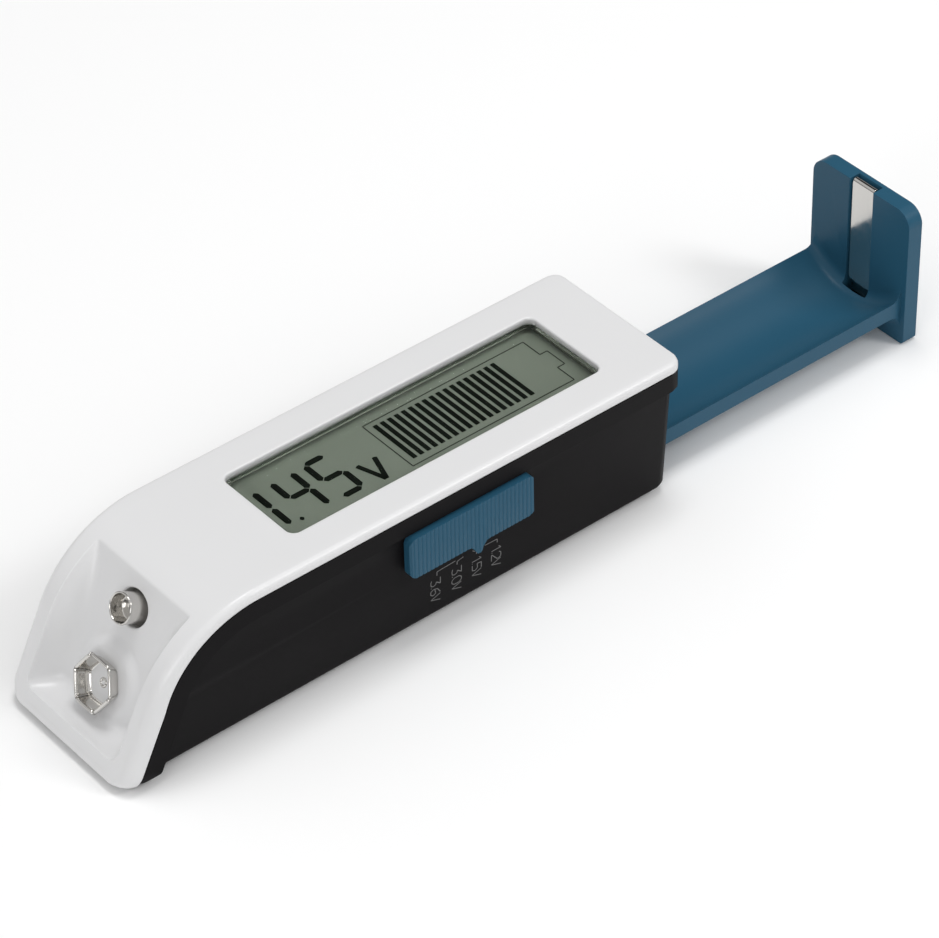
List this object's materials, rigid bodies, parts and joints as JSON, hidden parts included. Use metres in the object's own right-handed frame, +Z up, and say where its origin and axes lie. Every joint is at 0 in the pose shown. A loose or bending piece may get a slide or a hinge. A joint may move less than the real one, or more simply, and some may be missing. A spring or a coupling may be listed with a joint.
{
  "type": "battery tester",
  "caption": "Hand-held battery tester with a display, a sloping nose with snap terminals for a block battery, a selector slide and a sliding tray that clamps round cells.",
  "frame": {"origin": "centre of the case's flat underside", "axes": "+X from the nose to the tray end, +Z up through the display, -Y the side with the selector slide"},
  "size_m": [0.1624, 0.0313, 0.0261],
  "materials": {
    "white_plastic": "satin moulding",
    "black_plastic": "satin, finely grained",
    "blue_plastic": "satin moulding",
    "window_plastic": "clear, polished",
    "display_glass": "grey-green liquid-crystal display",
    "frame_plastic": "moulded",
    "connector_rubber": "striped carbon and silicone",
    "board_laminate": "lacquered",
    "chip_resin": "moulded",
    "resistor_coat": "lacquered",
    "nickel": "bright nickel plate",
    "fibre_board": "hard paper",
    "red_sleeve": "wire insulation",
    "black_sleeve": "wire insulation",
    "zinc_steel": "zinc plated"
  },
  "bodies": {
    "housing": {"top_cover": "white_plastic", "base_shell": "black_plastic", "display_window": "window_plastic", "lcd_panel": "display_glass", "lcd_frame": "frame_plastic", "connector_strip_front": "connector_rubber", "connector_strip_back": "connector_rubber", "circuit_board": "board_laminate", "controller_chip": "chip_resin", "load_resistor_1": "resistor_coat", "load_resistor_2": "resistor_coat", "load_resistor_3": "resistor_coat", "switch_body": "chip_resin", "contact_rail": "nickel", "snap_board": "fibre_board", "lead_red": "red_sleeve", "lead_black": "black_sleeve", "case_screw_1": "zinc_steel", "case_screw_2": "zinc_steel", "negative_contact": "nickel", "snap_stud": "nickel", "snap_socket": "nickel"},
    "tray": {"battery_tray": "blue_plastic", "positive_contact": "nickel"},
    "selector": {"selector_knob": "blue_plastic", "switch_lever": "frame_plastic"}
  },
  "joints": [
    {"name": "tray_slide", "type": "slide", "parent": "housing", "child": "tray", "axis": [1, 0, 0], "range_m": [-0.0512, 0.0125]},
    {"name": "selector_slide", "type": "slide", "parent": "housing", "child": "selector", "axis": [1, 0, 0], "range_m": [-0.004, 0.002]}
  ]
}
